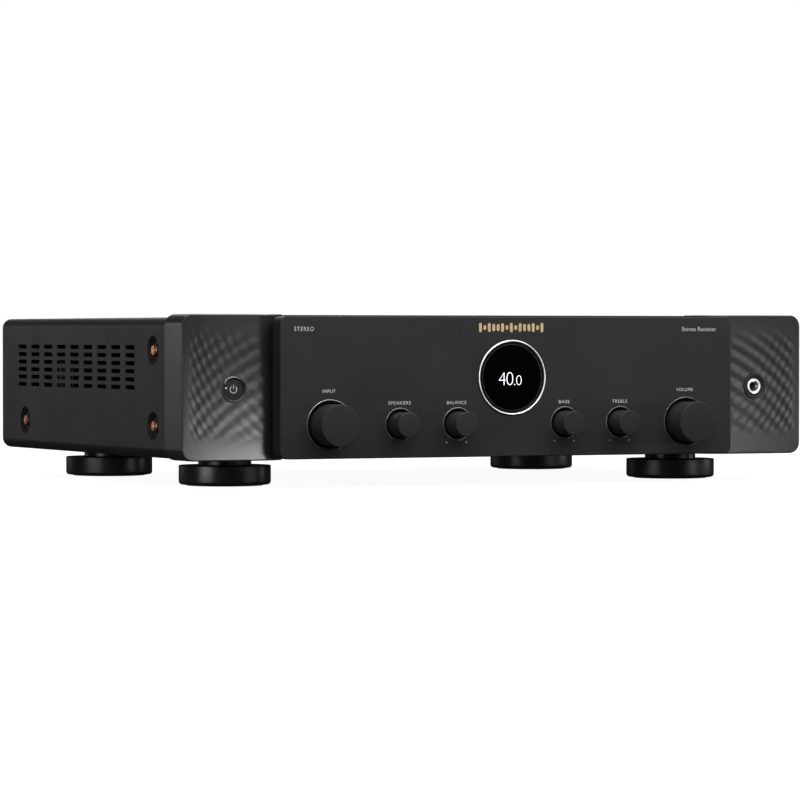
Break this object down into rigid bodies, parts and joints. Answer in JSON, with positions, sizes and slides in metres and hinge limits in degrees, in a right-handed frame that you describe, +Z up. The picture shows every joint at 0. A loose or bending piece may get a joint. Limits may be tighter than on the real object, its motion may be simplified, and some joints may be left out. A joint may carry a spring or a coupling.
{
  "type": "stereo receiver",
  "caption": "Slim black hi-fi stereo receiver: floating front panel with round display, rotary controls, textured side wings, vented case and rear sockets.",
  "frame": {"origin": "on the ground under the middle of the outer box: knob faces at the front, speaker terminal caps at the back", "axes": "+X to the listener's right along the front, -Y out of the front, +Z up"},
  "size_m": [0.442, 0.384, 0.109],
  "materials": {
    "case_paint": "fine satin black powder coat",
    "fascia_black": "black anodised, bead-blasted",
    "wing_black": "satin black moulding with a soft waffle texture",
    "knob_black": "satin black",
    "foot_black": "gloss black",
    "chrome": "polished",
    "display_glass": "polished smoked window",
    "black_plastic": "moulded",
    "zinc_steel": "zinc plated",
    "copper_plated": "copper plated steel",
    "brass_plated": "gold plated",
    "aluminium": "extruded or turned",
    "circuit_board": "solder-masked board"
  },
  "bodies": {
    "chassis": {"top_cover": "case_paint", "rear_panel": "case_paint", "bottom_chassis": "zinc_steel", "front_fascia": "fascia_black", "front_subframe": "black_plastic", "left_wing": "wing_black", "right_wing": "wing_black", "display_bezel": "chrome", "display_window": "display_glass", "display_module": "black_plastic", "power_button_ring": "chrome", "power_switch": "black_plastic", "headphone_ring": "black_plastic", "headphone_jack": "chrome", "speaker_terminal_block": "black_plastic", "phono_socket_block": "black_plastic", "digital_socket_block": "zinc_steel", "antenna_socket": "brass_plated", "mains_inlet": "black_plastic", "power_transformer": "zinc_steel", "heatsink": "aluminium", "amplifier_board": "circuit_board", "digital_board": "circuit_board", "input_encoder": "zinc_steel", "speakers_encoder": "zinc_steel", "balance_encoder": "zinc_steel", "bass_encoder": "zinc_steel", "treble_encoder": "zinc_steel", "volume_encoder": "zinc_steel", "left_front_foot": "foot_black", "left_rear_foot": "foot_black", "left_front_upper_screw": "copper_plated", "left_front_lower_screw": "copper_plated", "left_rear_lower_screw": "copper_plated", "right_front_foot": "foot_black", "right_rear_foot": "foot_black", "right_front_upper_screw": "copper_plated", "right_front_lower_screw": "copper_plated", "right_rear_lower_screw": "copper_plated"},
    "input_control": {"input_knob": "knob_black", "input_shaft": "aluminium"},
    "speakers_control": {"speakers_knob": "knob_black", "speakers_shaft": "aluminium"},
    "balance_control": {"balance_knob": "knob_black", "balance_shaft": "aluminium"},
    "bass_control": {"bass_knob": "knob_black", "bass_shaft": "aluminium"},
    "treble_control": {"treble_knob": "knob_black", "treble_shaft": "aluminium"},
    "volume_control": {"volume_knob": "knob_black", "volume_shaft": "aluminium"},
    "power_button": {"power_button": "black_plastic"},
    "speaker_b_left_plus_cap": {"speaker_b_left_plus_cap": "brass_plated"},
    "speaker_b_left_minus_cap": {"speaker_b_left_minus_cap": "brass_plated"},
    "speaker_b_right_plus_cap": {"speaker_b_right_plus_cap": "brass_plated"},
    "speaker_b_right_minus_cap": {"speaker_b_right_minus_cap": "brass_plated"},
    "speaker_a_left_plus_cap": {"speaker_a_left_plus_cap": "brass_plated"},
    "speaker_a_left_minus_cap": {"speaker_a_left_minus_cap": "brass_plated"},
    "speaker_a_right_plus_cap": {"speaker_a_right_plus_cap": "brass_plated"},
    "speaker_a_right_minus_cap": {"speaker_a_right_minus_cap": "brass_plated"}
  },
  "joints": [
    {"name": "input_turn", "type": "hinge", "parent": "chassis", "child": "input_control", "pos_m": [-0.1268, -0.1755, 0.0397], "axis": [0, 1, 0], "continuous": true},
    {"name": "speakers_turn", "type": "hinge", "parent": "chassis", "child": "speakers_control", "pos_m": [-0.0785, -0.1755, 0.0397], "axis": [0, 1, 0], "continuous": true},
    {"name": "balance_turn", "type": "hinge", "parent": "chassis", "child": "balance_control", "pos_m": [-0.0383, -0.1755, 0.0397], "axis": [0, 1, 0], "continuous": true},
    {"name": "bass_turn", "type": "hinge", "parent": "chassis", "child": "bass_control", "pos_m": [0.0383, -0.1755, 0.0397], "axis": [0, 1, 0], "continuous": true},
    {"name": "treble_turn", "type": "hinge", "parent": "chassis", "child": "treble_control", "pos_m": [0.0785, -0.1755, 0.0397], "axis": [0, 1, 0], "continuous": true},
    {"name": "volume_turn", "type": "hinge", "parent": "chassis", "child": "volume_control", "pos_m": [0.1268, -0.1755, 0.0397], "axis": [0, 1, 0], "continuous": true},
    {"name": "power_press", "type": "slide", "parent": "chassis", "child": "power_button", "axis": [0, 1, 0], "range_m": [0, 0.0015], "stiffness_N_per_m": 700, "springref_m": -0.0003},
    {"name": "speaker_b_left_plus_unscrew", "type": "slide", "parent": "chassis", "child": "speaker_b_left_plus_cap", "axis": [0, 1, 0], "range_m": [0, 0.005]},
    {"name": "speaker_b_left_minus_unscrew", "type": "slide", "parent": "chassis", "child": "speaker_b_left_minus_cap", "axis": [0, 1, 0], "range_m": [0, 0.005]},
    {"name": "speaker_b_right_plus_unscrew", "type": "slide", "parent": "chassis", "child": "speaker_b_right_plus_cap", "axis": [0, 1, 0], "range_m": [0, 0.005]},
    {"name": "speaker_b_right_minus_unscrew", "type": "slide", "parent": "chassis", "child": "speaker_b_right_minus_cap", "axis": [0, 1, 0], "range_m": [0, 0.005]},
    {"name": "speaker_a_left_plus_unscrew", "type": "slide", "parent": "chassis", "child": "speaker_a_left_plus_cap", "axis": [0, 1, 0], "range_m": [0, 0.005]},
    {"name": "speaker_a_left_minus_unscrew", "type": "slide", "parent": "chassis", "child": "speaker_a_left_minus_cap", "axis": [0, 1, 0], "range_m": [0, 0.005]},
    {"name": "speaker_a_right_plus_unscrew", "type": "slide", "parent": "chassis", "child": "speaker_a_right_plus_cap", "axis": [0, 1, 0], "range_m": [0, 0.005]},
    {"name": "speaker_a_right_minus_unscrew", "type": "slide", "parent": "chassis", "child": "speaker_a_right_minus_cap", "axis": [0, 1, 0], "range_m": [0, 0.005]}
  ]
}
